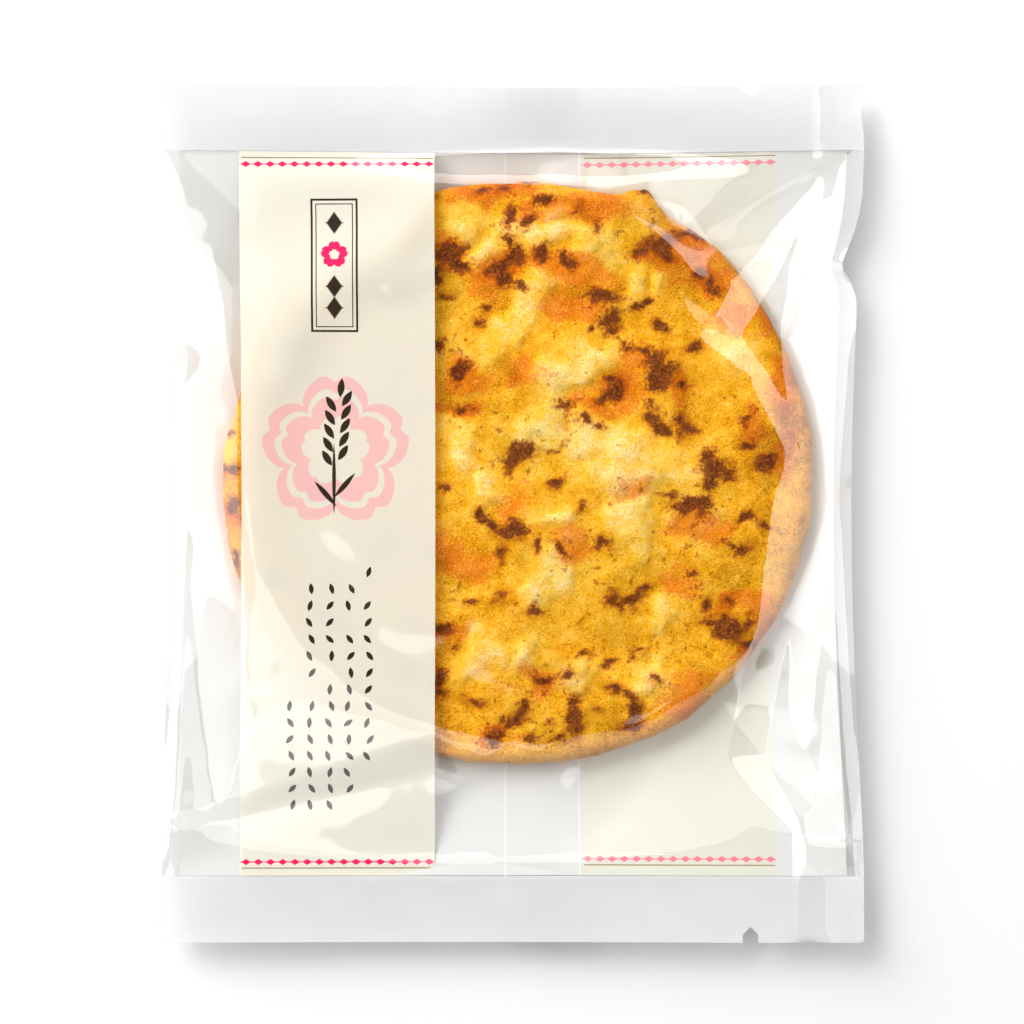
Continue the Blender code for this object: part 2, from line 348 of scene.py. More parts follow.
def weigh(piece, name, weights, levels=20):
    """Makes a vertex group of these weights, each rounded to the nearest of so many levels."""
    group = piece.vertex_groups.new(name=name)
    steps = np.round(np.clip(weights, 0, 1) * levels).astype(int)
    for step in range(1, levels + 1):
        group.add(np.nonzero(steps == step)[0].tolist(), step / levels, "REPLACE")


flat_places = places_of(cracker)
upper = flat_places[:, 2] > CRACKER_LEVEL
# The back has the same patches, turned round, as both faces are baked alike.
BACK_TURN = math.radians(140)
RIM_START_MM = 47
RIM_WIDTH_MM = 8
from_x = (flat_places[:, 0] - CRACKER_X) * 1000
from_y = (flat_places[:, 1] - CRACKER_Y) * 1000
back_x = from_x * math.cos(BACK_TURN) - from_y * math.sin(BACK_TURN)
back_y = from_x * math.sin(BACK_TURN) + from_y * math.cos(BACK_TURN)
face_x = np.where(upper, from_x, back_x) + CRACKER_X * 1000
face_y = np.where(upper, from_y, back_y) + CRACKER_Y * 1000
# The random field that makes the patches ragged is the same in every run.
FIELD_SEED = 5
mathutils.noise.seed_set(FIELD_SEED)
broad_x, broad_y = wander(face_x, face_y, 6.5, 3.6, 3.0)
broad_x, broad_y = wander(broad_x, broad_y, 2.6, 1.3, 9.0)
ragged_x, ragged_y = wander(face_x, face_y, 2.3, 1.0, 8.0)
ragged_x, ragged_y = wander(ragged_x, ragged_y, 1.0, 0.5, 5.0)
scorch = patch_field(ragged_x, ragged_y, SCORCHED, 0.45, 1.2)
toast = patch_field(broad_x, broad_y, TOASTED, 0.4)
pale_and_highlit = patch_field(broad_x, broad_y, PALE_AND_HIGHLIT, 0.4)
rim = np.clip((np.hypot(from_x, from_y) - RIM_START_MM) / RIM_WIDTH_MM, 0, 1)
blistered = np.clip(pale_and_highlit * 0.9 + 0.6, 0, 1) ** 1.5
weigh(cracker, "blisters", blistered * (1 - rim) * np.where(upper, 1, 0.4))
weigh(cracker, "crust", np.clip(scorch * 3 + 0.3, 0, 1))


def clouds(name, size, depth, basis="BLENDER_ORIGINAL"):
    """A soft random texture whose lumps are this size, in metres."""
    texture = bpy.data.textures.new(name, "CLOUDS")
    texture.noise_scale = size
    texture.noise_depth = depth
    texture.noise_basis = basis
    return texture


apply_modifier(
    cracker, "raise_blisters", "DISPLACE", strength=0.0006, mid_level=0, vertex_group="blisters"
)
apply_modifier(
    cracker, "warp", "DISPLACE", texture=clouds("warp", 0.034, 0), strength=0.0013, direction="Z"
)
apply_modifier(cracker, "lumps", "DISPLACE", texture=clouds("lumps", 0.0085, 2), strength=0.0012)
apply_modifier(
    cracker,
    "wrinkles",
    "DISPLACE",
    texture=clouds("wrinkles", 0.0034, 3, "VORONOI_F2_F1"),
    strength=0.00035,
)
apply_modifier(
    cracker,
    "crumbled_crust",
    "DISPLACE",
    texture=clouds("crumbs", 0.0011, 2),
    strength=0.0009,
    vertex_group="crust",
)
apply_modifier(cracker, "grain", "DISPLACE", texture=clouds("grain", 0.0009, 1), strength=0.00014)
baked_places = places_of(cracker)
relief = (baked_places[:, 2] - flat_places[:, 2]) * np.where(upper, 1, -1) * 1000
# The back film lies at CRACKER_REST, and the lowest bumps of the back are pressed flat on it.
PRESSED_SHARE = 12
baked_places[:, 2] += CRACKER_REST - np.percentile(baked_places[~upper, 2], PRESSED_SHARE)
baked_places[:, 2] = np.maximum(baked_places[:, 2], CRACKER_REST)
cracker.data.vertices.foreach_set("co", baked_places.ravel())
cracker.data.update()
keep_field(cracker, "scorch", scorch)
keep_field(cracker, "toast", toast)
keep_field(cracker, "pale_and_highlit", pale_and_highlit)
keep_field(cracker, "rim", rim)
keep_field(cracker, "relief", relief)
cracker.vertex_groups.clear()
bpy.ops.object.shade_smooth()


def maths(tree, operation, first, second=0.0, third=0.0, clamp=False):
    """The output of a Math node."""
    node = add_node(tree, "ShaderNodeMath", {0: first, 1: second, 2: third}, operation=operation)
    node.use_clamp = clamp
    return node.outputs[0]


def spread(tree, value, low, high):
    """0 where the value is at or under low, 1 where it is at or over high."""
    node = add_node(
        tree,
        "ShaderNodeMapRange",
        {"Value": value, "From Min": low, "From Max": high},
        interpolation_type="SMOOTHSTEP",
    )
    return node.outputs[0]


def part_of(tree, value, low, high, most):
    """0 where the value is at or under low, and this most where it is at or over high."""
    return maths(tree, "MULTIPLY", spread(tree, value, low, high), most)


def mix(tree, share, under, over, blend_type="MIX"):
    """A colour between under and over."""
    node = add_node(
        tree,
        "ShaderNodeMix",
        {0: share, 6: under, 7: over},
        data_type="RGBA",
        blend_type=blend_type,
    )
    return node.outputs[2]


def noise(tree, place, scale, detail=2.0, roughness=0.5):
    """The value of a noise pattern, 0 to 1, with this many lumps in a metre."""
    node = add_node(
        tree,
        "ShaderNodeTexNoise",
        {"Vector": place, "Scale": scale, "Detail": detail, "Roughness": roughness},
    )
    return node.outputs["Fac"]


baked, tree, surface = new_material("baked_rice")
spot = add_node(tree, "ShaderNodeTexCoord").outputs["Object"]
fields = {}
for name in ("scorch", "toast", "pale_and_highlit", "rim", "relief"):
    fields[name] = add_node(tree, "ShaderNodeAttribute", attribute_name=name).outputs["Fac"]
broad = noise(tree, spot, 90, 3)
blotch = noise(tree, spot, 330, 4, 0.6)
crumb = noise(tree, spot, 1500, 3, 0.65)
glint = noise(tree, spot, 3300, 4, 0.75)
grit = noise(tree, spot, 5600, 1, 0.5)


def sum_of(tree, *parts):
    """The sum of (value, share) pairs."""
    total = 0.0
    for value, share in parts:
        total = maths(tree, "MULTIPLY_ADD", value, share, total)
    return total


def ramp(tree, value, *stops):
    """The colour that a value has on a run of (place, colour) stops."""
    node = add_node(tree, "ShaderNodeValToRGB", {0: value})
    elements = node.color_ramp.elements
    elements[0].position, elements[0].color = stops[0]
    elements[1].position, elements[1].color = stops[-1]
    for place, colour in stops[1:-1]:
        elements.new(place).color = colour
    return node.outputs[0]


def stained(tree, share, under, stain):
    """The colour under, multiplied by a stain where share is 1."""
    return mix(tree, share, under, stain, "MULTIPLY")


# Valleys are dark gold and swellings are pale, with grains of both everywhere. The tone follows the
# relief's height, so it is partly the thinner glaze on swellings and partly painted highlight on them and
# painted shade in the valleys.
TONE_START = 1.815
pale_and_highlit_share = spread(tree, fields["pale_and_highlit"], -1.5, 1.0)
tone = sum_of(
    tree,
    (fields["relief"], 0.22),
    (pale_and_highlit_share, 0.36),
    (blotch, 1.0),
    (broad, 0.8),
    (crumb, 0.8),
    (glint, 1.1),
    (grit, 0.7),
)
tone = maths(tree, "SUBTRACT", tone, TONE_START)
golden = ramp(
    tree,
    tone,
    (0.00, (0.42, 0.145, 0.001, 1)),
    (0.10, (0.64, 0.255, 0.002, 1)),
    (0.30, (0.86, 0.385, 0.005, 1)),
    (0.50, (0.95, 0.480, 0.022, 1)),
    (0.70, (0.99, 0.560, 0.062, 1)),
    (0.85, (1.00, 0.615, 0.125, 1)),
    (1.00, (1.00, 0.740, 0.300, 1)),
)
olive = part_of(tree, noise(tree, spot, 64, 3, 0.6), 0.49, 0.64, 0.8)
golden = stained(tree, olive, golden, (0.80, 0.84, 0.60, 1))

# Toasting is orange to brown, and breaks up into grains towards its edges.
toasting = sum_of(tree, (fields["toast"], 1.0), (blotch, 2.2), (crumb, 3.2), (glint, -1.0))
browned = stained(tree, part_of(tree, toasting, 1.75, 2.50, 0.90), golden, (0.86, 0.47, 0.30, 1))
rim_toast = sum_of(tree, (fields["rim"], 0.8), (blotch, 1.0), (crumb, 1.0))
browned = stained(tree, part_of(tree, rim_toast, 1.2, 2.0, 0.6), browned, (0.88, 0.62, 0.60, 1))
freckles = sum_of(tree, (noise(tree, spot, 700, 2, 0.5), 1.0), (broad, 0.4))
browned = stained(tree, part_of(tree, freckles, 0.86, 0.95, 0.75), browned, (0.45, 0.26, 0.22, 1))

# Scorched spots are dark and crumbly, in a brown halo.
scorching = sum_of(tree, (fields["scorch"], 1.0), (blotch, 1.3), (crumb, 2.0), (glint, 0.9))
charred = stained(tree, part_of(tree, scorching, 1.60, 2.15, 0.80), browned, (0.60, 0.36, 0.30, 1))
char_colour = mix(
    tree, spread(tree, crumb, 0.42, 0.66), (0.10, 0.020, 0.004, 1), (0.30, 0.080, 0.010, 1)
)
charred = mix(tree, part_of(tree, scorching, 2.08, 2.34, 0.94), charred, char_colour)

# The crust's low grains, the hollows of its fine bump, are painted darker as painted shade in its pits.
# Its high grains away from the char are painted pale as painted glints of the soy glaze.
painted_pit_shade = part_of(tree, glint, 0.47, 0.35, 0.45)
charred = stained(tree, painted_pit_shade, charred, (0.66, 0.46, 0.30, 1))
painted_glints = maths(tree, "MULTIPLY", spread(tree, glint, 0.56, 0.68), spread(tree, blotch, 0.40, 0.62))
off_char = maths(tree, "SUBTRACT", 0.70, spread(tree, scorching, 1.6, 2.1))
painted_glints = maths(tree, "MULTIPLY", painted_glints, off_char, clamp=True)
charred = mix(tree, painted_glints, charred, (1.0, 0.80, 0.40, 1))

grain = sum_of(tree, (crumb, 1.0), (glint, 0.7), (grit, 0.3))
bumps = add_node(tree, "ShaderNodeBump", {"Height": grain, "Strength": 0.9, "Distance": 0.0003})
gloss = maths(tree, "MULTIPLY_ADD", glint, 0.4, 0.15)
crust_shader = add_node(
    tree,
    "ShaderNodeBsdfPrincipled",
    {
        "Base Color": charred,
        "Roughness": gloss,
        "Normal": bumps.outputs[0],
        "Specular IOR Level": 0.06,
    },
)
tree.links.new(crust_shader.outputs[0], surface)
cracker.data.materials.append(baked)
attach(cracker, "root")

# The pack is one tube of clear polypropylene film, heat-sealed flat across both ends. Ink is
# printed inside it: ivory bands edged with rows of lozenges, and white over most of the back.
SEAL_LENGTH = 0.0123
SEAL_LEVEL = 0.0050
FOLD_DRAW = {1: 0.0023, -1: 0.0010}
FILM_SLACK = 0.0034
HALF_WIDTH = PACK_WIDTH / 2
HALF_LENGTH = PACK_LENGTH / 2
HALF_BODY = HALF_LENGTH - SEAL_LENGTH
FILM_COLUMNS = 80
FILM_ROWS = 98
LAYER_GAP = 0.0001
NEARLY_NONE = 1e-5
FRONT_RISE = 0.0050
BACK_LEVEL = 0.0006
FRONT_FLAT_RADIUS = 0.046
BACK_FLAT_RADIUS = 0.050
SEAL_PULL = 0.0004
WAVE_START = 0.050
FOLD_KINKS = (
    # side, y, depth, reach above, reach below
    (1, 0.0460, 0.0036, 0.0150, 0.0080),
    (1, 0.0745, 0.0009, 0.0040, 0.0050),
    (-1, 0.0294, 0.0016, 0.0130, 0.0080),
    (-1, 0.0735, 0.0006, 0.0040, 0.0050),
)
SIM_SCALE = 10
SIM_FRAMES = 30

bpy.ops.object.select_all(action="DESELECT")
bpy.ops.mesh.primitive_grid_add(x_subdivisions=FILM_COLUMNS, y_subdivisions=FILM_ROWS, size=1)
film = bpy.context.object
film.name = "film_tube"
bpy.ops.object.mode_set(mode="EDIT")
bpy.ops.mesh.select_all(action="SELECT")
bpy.ops.transform.resize(value=(PACK_WIDTH, PACK_LENGTH, 1))
bpy.ops.mesh.duplicate()
bpy.ops.transform.translate(value=(0, 0, -LAYER_GAP))
bpy.ops.mesh.flip_normals()
bpy.ops.object.mode_set(mode="OBJECT")

# The film's own map holds flat x and y in metres. The back's x has 1 added to it, and the fin's 2.
film.data.uv_layers[0].name = "flat_film"
for polygon in film.data.polygons:
    is_back = polygon.center.z < -LAYER_GAP / 2
    for loop in polygon.loop_indices:
        vertex = film.data.vertices[film.data.loops[loop].vertex_index]
        film.data.uv_layers["flat_film"].data[loop].uv = (vertex.co.x + is_back, vertex.co.y)
film.data.attributes.new("crease_edge", "FLOAT", "EDGE")
flat = places_of(film)
at_fold = np.abs(flat[:, 0]) > HALF_WIDTH - NEARLY_NONE
at_end = np.abs(flat[:, 1]) > HALF_LENGTH - NEARLY_NONE
on_rim = at_fold | at_end
layer = np.where(on_rim, 0, np.where(flat[:, 2] < -LAYER_GAP / 2, -1, 1))
flat[:, 2] = layer * LAYER_GAP
film.data.vertices.foreach_set("co", flat.ravel())
keep_field(film, "layer", layer)
bpy.ops.object.mode_set(mode="EDIT")
bpy.ops.mesh.select_all(action="SELECT")
bpy.ops.mesh.remove_doubles(threshold=NEARLY_NONE)
bpy.ops.object.mode_set(mode="OBJECT")
merged = places_of(film)
at_fold = np.abs(merged[:, 0]) > HALF_WIDTH - NEARLY_NONE
at_end = np.abs(merged[:, 1]) > HALF_LENGTH - NEARLY_NONE
for edge in film.data.edges:
    ends = list(edge.vertices)
    if at_fold[ends].all() or at_end[ends].all():
        film.data.attributes["crease_edge"].data[edge.index].value = 1


def fold_draw(side, y):
    """How far the side folds are drawn in, in two parts: a shallow bow, and a cusp at each kink."""
    deepest = np.where(side > 0, FOLD_DRAW[1], FOLD_DRAW[-1])
    bow = deepest * np.maximum(0, 1 - (y / HALF_BODY) ** 2) ** 1.5
    kinks = np.zeros(len(y))
    for kink_side, kink_y, depth, above, below in FOLD_KINKS:
        nearness = np.maximum(0, 1 - np.abs(y - kink_y) / np.where(y > kink_y, above, below))
        kinks += np.where(side == kink_side, depth * nearness**2, 0)
    return bow, kinks


def puff(x, y, bow, flat_radius):
    """0 at the folds and seals, 1 over the cracker's middle, and convex between."""
    to_fold = np.maximum(1e-9, HALF_WIDTH - bow - np.abs(x))
    to_seal = np.maximum(1e-9, HALF_BODY - np.abs(y))
    to_edge = (to_fold**-3 + to_seal**-3) ** (-1 / 3)
    to_flat = np.maximum(0, np.hypot(x - CRACKER_X, y - CRACKER_Y) - flat_radius)
    return np.sin(np.pi / 2 * to_edge / (to_edge + to_flat))


flat = places_of(film)
layer = np.empty(len(flat), np.float32)
film.data.attributes["layer"].data.foreach_get("value", layer)
across, along = flat[:, 0], flat[:, 1]
side = np.where(across > 0, 1, -1)
share = np.abs(across) / HALF_WIDTH
bow, kinks = fold_draw(side, along)
start = flat.copy()
start[:, 0] = across - side * (bow * share + kinks * share**10)
# The full middle of the pack pulls the top seal down a little, and both seals wave gently.
pulled = SEAL_PULL * (1 - share**2) * np.clip(along / HALF_BODY, 0, 1) ** 4
start[:, 1] -= np.where(along > 0, pulled, 0)
left_hump = 0.0007 * np.exp(-(((across + 0.033) / 0.020) ** 2))
middle_dip = 0.0022 * np.exp(-(((across - 0.014) / 0.030) ** 2))
wave = (left_hump - middle_dip) * (along > 0) + 0.0005 * np.sin(across * 48 - 1.1)
wave *= np.clip((np.abs(along) - WAVE_START) / (HALF_BODY - WAVE_START), 0, 1)
above = puff(start[:, 0], along, bow + kinks, FRONT_FLAT_RADIUS)
below = puff(start[:, 0], along, bow + kinks, BACK_FLAT_RADIUS)
start[:, 2] = SEAL_LEVEL + layer * LAYER_GAP + wave
start[:, 2] += np.where(layer > 0, FRONT_RISE * above, 0)
start[:, 2] -= np.where(layer < 0, (SEAL_LEVEL - BACK_LEVEL) * below, 0)
rest = flat.copy()
rest[:, 1] += np.clip(along, -HALF_BODY, HALF_BODY) / HALF_BODY * FILM_SLACK / 2

film.data.vertices.foreach_set("co", (start * SIM_SCALE).ravel())
film.shape_key_add(name="folded")
laid_flat = film.shape_key_add(name="laid_flat")
laid_flat.data.foreach_set("co", (rest * SIM_SCALE).ravel())
sealed = film.vertex_groups.new(name="sealed")
pinned = (np.abs(along) > HALF_BODY + 1e-6) | (np.abs(across) > HALF_WIDTH - NEARLY_NONE)
sealed.add(np.nonzero(pinned)[0].tolist(), 1.0, "REPLACE")

# A smooth disc stands in for the cracker while the film settles on it and on the table.
CORE_RADIUS = CRACKER_RADIUS - 0.0004
CORE_THICKNESS = 0.0071
CORE_LEVEL = 0.00395
bpy.ops.mesh.primitive_cylinder_add(
    vertices=96,
    radius=CORE_RADIUS * SIM_SCALE,
    depth=CORE_THICKNESS * SIM_SCALE,
    location=(CRACKER_X * SIM_SCALE, CRACKER_Y * SIM_SCALE, CORE_LEVEL * SIM_SCALE),
)
core = bpy.context.object
apply_modifier(core, "round", "BEVEL", width=0.03, segments=4, limit_method="ANGLE", angle_limit=1.0)
apply_modifier(core, "triangles", "TRIANGULATE")
bpy.ops.mesh.primitive_plane_add(size=3, location=(0, 0, 0))
ground = bpy.context.object
for solid, inner in ((core, 0.02), (ground, 0.1)):
    solid.modifiers.new("collision", "COLLISION")
    solid.collision.thickness_outer = 0.003
    solid.collision.thickness_inner = inner
    solid.collision.cloth_friction = 2

bpy.context.view_layer.objects.active = film
cloth = film.modifiers.new("cloth", "CLOTH")
for setting, value in (
    ("quality", 8),
    ("mass", 0.2),
    ("air_damping", 2),
    ("tension_stiffness", 40),
    ("compression_stiffness", 40),
    ("shear_stiffness", 20),
    ("bending_stiffness", 1.0),
    ("tension_damping", 10),
    ("compression_damping", 10),
    ("shear_damping", 10),
    ("bending_damping", 1),
    ("vertex_group_mass", "sealed"),
    ("pin_stiffness", 5),
    ("rest_shape_key", laid_flat),
    ("use_pressure", True),
    ("uniform_pressure_force", 0.4),
    ("use_pressure_volume", True),
    ("target_volume", 0.122),
):
    setattr(cloth.settings, setting, value)
cloth.settings.effector_weights.gravity = 0.1
cloth.collision_settings.distance_min = 0.002
cloth.collision_settings.collision_quality = 3
cloth.collision_settings.use_self_collision = False
cloth.point_cache.frame_start = 1
cloth.point_cache.frame_end = SIM_FRAMES
for step in range(1, SIM_FRAMES + 1):
    bpy.context.scene.frame_set(step)

bpy.ops.object.select_all(action="DESELECT")
film.select_set(True)
bpy.context.view_layer.objects.active = film
bpy.ops.object.convert(target="MESH")
for solid in (core, ground):
    bpy.data.objects.remove(solid, do_unlink=True)
bpy.context.scene.frame_set(1)
film.scale = (1 / SIM_SCALE,) * 3
bpy.ops.object.transform_apply(location=True, rotation=True, scale=True)
film.vertex_groups.clear()
apply_modifier(film, "smooth_film", "SUBSURF", levels=1, render_levels=1)

# The film is drawn tight over the cracker's rim and falls away past two creases. The right one is
# a line of (y, x) points in metres and the bottom one of (x, y) points. A fall is the slope past a
# crease, and an end is where the film has come back to its fold or seal.
RIGHT_CREASE = (
    (-0.0600, 0.0520), (-0.0450, 0.0400), (-0.0340, 0.0425), (-0.0200, 0.0460), (-0.0100, 0.0460),
    (-0.0007, 0.0470), (0.0040, 0.0480), (0.0085, 0.0507), (0.0120, 0.0510), (0.0170, 0.0470),
    (0.0265, 0.0405), (0.0330, 0.0340), (0.0440, 0.0430), (0.0520, 0.0480), (0.0600, 0.0560),
)
BOTTOM_CREASE = (
    (-0.0600, -0.0560), (-0.0400, -0.0490), (-0.0145, -0.0410), (-0.0099, -0.0437),
    (-0.0045, -0.0453), (-0.0001, -0.0426), (0.0053, -0.0450), (0.0118, -0.0415),
    (0.0173, -0.0410), (0.0260, -0.0415), (0.0330, -0.0450), (0.0420, -0.0520), (0.0560, -0.0600),
)
RIGHT_FALL = 0.20
BOTTOM_FALL = 0.16
RIGHT_END = 0.0600
BOTTOM_END = 0.0655
FIN_LIFT = 0.0002
spots = places_of(film)
front = np.zeros(len(spots), bool)
front_loops = np.empty(len(film.data.loops) * 2)
film.data.uv_layers["flat_film"].data.foreach_get("uv", front_loops)
loop_vertices = np.empty(len(film.data.loops), int)
film.data.loops.foreach_get("vertex_index", loop_vertices)
front[loop_vertices[front_loops[0::2] < 0.5]] = True
off_seals = np.abs(spots[:, 1]) < HALF_BODY - 0.0010
stretched = front & (np.abs(spots[:, 0]) < RIGHT_END) & off_seals
bpy.ops.object.mode_set(mode="EDIT")
bpy.ops.mesh.select_mode(type="VERT")
bpy.ops.mesh.select_all(action="DESELECT")
bpy.ops.object.mode_set(mode="OBJECT")
film.data.vertices.foreach_set("select", stretched)
bpy.ops.object.mode_set(mode="EDIT")
bpy.ops.mesh.vertices_smooth(factor=0.5, repeat=14)
bpy.ops.object.mode_set(mode="OBJECT")
spots = places_of(film)
x, y = spots[:, 0], spots[:, 1]
past_right = np.maximum(0, x - np.interp(y, *zip(*RIGHT_CREASE)))
to_fold = np.maximum(0, RIGHT_END - x)
past_bottom = np.maximum(0, np.interp(x, *zip(*BOTTOM_CREASE)) - y)
to_seal = np.maximum(0, y + BOTTOM_END)
fall = RIGHT_FALL * np.minimum(past_right, to_fold * 0.5)
fall += BOTTOM_FALL * np.minimum(past_bottom, to_seal * 0.4)
spots[:, 2] += FIN_LIFT - np.where(front, fall, 0)
film.data.vertices.foreach_set("co", spots.ravel())
film.data.update()

# A tear notch, punched like a small house, goes through the end of each seal.
NOTCH_X = 0.0441
NOTCHES = (
    # end, width, depth of its straight sides, depth of its tip
    (1, 0.0033, 0.0012, 0.0025),
    (-1, 0.0029, 0.0015, 0.0029),
)
for end, width, straight, depth in NOTCHES:
    bpy.ops.object.select_all(action="DESELECT")
    bpy.ops.mesh.primitive_cylinder_add(
        vertices=5, radius=1, depth=0.02, location=(NOTCH_X, end * HALF_LENGTH, 0)
    )
    punch = bpy.context.object
    for vertex in punch.data.vertices:
        is_tip = abs(vertex.co.x) < 0.1
        inwards = depth if is_tip else straight if vertex.co.y > 0 else -0.003
        vertex.co.x = 0 if is_tip else math.copysign(width / 2, vertex.co.x)
        vertex.co.y = -end * inwards
    punch.data.update()
    bpy.ops.object.mode_set(mode="EDIT")
    bpy.ops.mesh.select_all(action="SELECT")
    bpy.ops.mesh.normals_make_consistent(inside=False)
    bpy.ops.object.mode_set(mode="OBJECT")
    punch.location.z = SEAL_LEVEL
    apply_modifier(film, "tear_notch", "BOOLEAN", operation="DIFFERENCE", solver="EXACT", object=punch)
    bpy.data.objects.remove(punch, do_unlink=True)
bpy.ops.object.select_all(action="DESELECT")
film.select_set(True)
bpy.context.view_layer.objects.active = film
bpy.ops.object.shade_smooth_by_angle(angle=math.radians(55))

# The ink is mapped on the flat film, so it bends with it. Sizes are in metres.
IVORY = (0.80, 0.765, 0.645, 1)
IVORY_BACK = (0.73, 0.715, 0.615, 1)
WHITE_INK = (0.71, 0.71, 0.685, 1)
MILKY_FILM = (0.77, 0.77, 0.77, 1)
CRIMSON = (0.78, 0.012, 0.11, 1)
PALE_CRIMSON = (0.86, 0.22, 0.30, 1)
DARK_INK = (0.030, 0.020, 0.014, 1)
RULE_INK = (0.30, 0.22, 0.10, 1)
SOFT_PINK = (0.93, 0.44, 0.46, 1)


def new_group(name, inputs, outputs):
    """An empty node group with these float inputs and outputs: (group, input sockets)."""
    group = bpy.data.node_groups.new(name, "ShaderNodeTree")
    for socket in inputs:
        group.interface.new_socket(name=socket, in_out="INPUT", socket_type="NodeSocketFloat")
    for socket in outputs:
        group.interface.new_socket(name=socket, in_out="OUTPUT", socket_type="NodeSocketFloat")
    return group, group.nodes.new("NodeGroupInput").outputs


def close_group(group, name, value):
    """Ends a node group by joining this value to its output."""
    group.links.new(value, group.nodes.new("NodeGroupOutput").inputs[name])


EDGE_BLUR = 0.00006
field_group, at = new_group("printed_field", ("X", "Y", "Left", "Right", "Bottom", "Top"), ("Mask",))
inside = []
for low, high in (("Left", "X"), ("X", "Right"), ("Bottom", "Y"), ("Y", "Top")):
    past = maths(field_group, "SUBTRACT", at[high], at[low])
    inside.append(maths(field_group, "MULTIPLY_ADD", past, 1 / EDGE_BLUR, 0.5, clamp=True))
across_mask = maths(field_group, "MULTIPLY", inside[0], inside[1])
along_mask = maths(field_group, "MULTIPLY", inside[2], inside[3])
close_group(field_group, "Mask", maths(field_group, "MULTIPLY", across_mask, along_mask))

row_group, at = new_group(
    "lozenge_row", ("X", "Y", "Left", "Right", "Level", "Pitch", "Width", "Height"), ("Mask",)
)
step = maths(row_group, "DIVIDE", maths(row_group, "SUBTRACT", at["X"], at["Left"]), at["Pitch"])
offset = maths(row_group, "ABSOLUTE", maths(row_group, "SUBTRACT", maths(row_group, "FRACT", step), 0.5))
offset = maths(row_group, "DIVIDE", maths(row_group, "MULTIPLY", offset, at["Pitch"]), at["Width"])
rise = maths(row_group, "ABSOLUTE", maths(row_group, "SUBTRACT", at["Y"], at["Level"]))
lozenge = maths(row_group, "ADD", offset, maths(row_group, "DIVIDE", rise, at["Height"]))
lozenge = maths(row_group, "SUBTRACT", 1, spread(row_group, lozenge, 0.44, 0.56))
thread = maths(row_group, "SUBTRACT", 1, spread(row_group, rise, 0.00006, 0.00014))
shape = maths(row_group, "MAXIMUM", lozenge, thread)
within = maths(
    row_group,
    "MULTIPLY",
    maths(row_group, "GREATER_THAN", at["X"], at["Left"]),
    maths(row_group, "LESS_THAN", at["X"], at["Right"]),
)
close_group(row_group, "Mask", maths(row_group, "MULTIPLY", shape, within))

grain_group, at = new_group(
    "rice_grain", ("X", "Y", "Centre X", "Centre Y", "Turn", "Length", "Width"), ("Mask",)
)
from_centre = add_node(
    grain_group,
    "ShaderNodeCombineXYZ",
    {
        0: maths(grain_group, "SUBTRACT", at["X"], at["Centre X"]),
        1: maths(grain_group, "SUBTRACT", at["Y"], at["Centre Y"]),
    },
)
turned = add_node(
    grain_group,
    "ShaderNodeVectorRotate",
    {"Vector": from_centre.outputs[0], "Angle": at["Turn"]},
    rotation_type="Z_AXIS",
    invert=True,
)
grain_place = add_node(grain_group, "ShaderNodeSeparateXYZ", {0: turned.outputs[0]})
run = maths(grain_group, "DIVIDE", grain_place.outputs["X"], at["Length"])
aside = maths(grain_group, "ABSOLUTE", grain_place.outputs["Y"])
breadth = maths(grain_group, "DIVIDE", aside, at["Width"])
pointed = maths(grain_group, "MULTIPLY", maths(grain_group, "MULTIPLY", run, run), 4)
pointed = maths(grain_group, "MULTIPLY_ADD", breadth, 2, pointed)
outside = spread(grain_group, pointed, 0.90, 1.10)
close_group(grain_group, "Mask", maths(grain_group, "SUBTRACT", 1, outside))


def from_cell_middle(tree, cells, size):
    """How far a place lies from the middle of its own cell, given its count of cells from 0."""
    return maths(tree, "MULTIPLY", maths(tree, "SUBTRACT", maths(tree, "FRACT", cells), 0.5), size)


# Grains strewn in upright columns: each cell holds one, turned at random, and some cells are bare.
FILLED_CELLS = 0.86
STREWN_GRAIN = (0.0021, 0.0009)
strewn_group, at = new_group("strewn_grains", ("X", "Y", "Column", "Row"), ("Mask",))
column = maths(strewn_group, "DIVIDE", at["X"], at["Column"])
row = maths(strewn_group, "DIVIDE", at["Y"], at["Row"])
cell = add_node(
    strewn_group,
    "ShaderNodeCombineXYZ",
    {0: maths(strewn_group, "FLOOR", column), 1: maths(strewn_group, "FLOOR", row)},
)
chance = add_node(
    strewn_group, "ShaderNodeTexWhiteNoise", {"Vector": cell.outputs[0]}, noise_dimensions="3D"
)
chances = add_node(strewn_group, "ShaderNodeSeparateColor", {0: chance.outputs["Color"]})
grain = add_node(strewn_group, "ShaderNodeGroup", node_tree=grain_group)
for socket, value in (
    ("X", from_cell_middle(strewn_group, column, at["Column"])),
    ("Y", from_cell_middle(strewn_group, row, at["Row"])),
    ("Centre X", maths(strewn_group, "MULTIPLY_ADD", chances.outputs["Green"], 0.0008, -0.0004)),
    ("Turn", maths(strewn_group, "MULTIPLY_ADD", chances.outputs["Red"], 1.9, 0.62)),
):
    strewn_group.links.new(value, grain.inputs[socket])
grain.inputs["Length"].default_value, grain.inputs["Width"].default_value = STREWN_GRAIN
kept = maths(strewn_group, "LESS_THAN", chances.outputs["Blue"], FILLED_CELLS)
close_group(strewn_group, "Mask", maths(strewn_group, "MULTIPLY", grain.outputs["Mask"], kept))

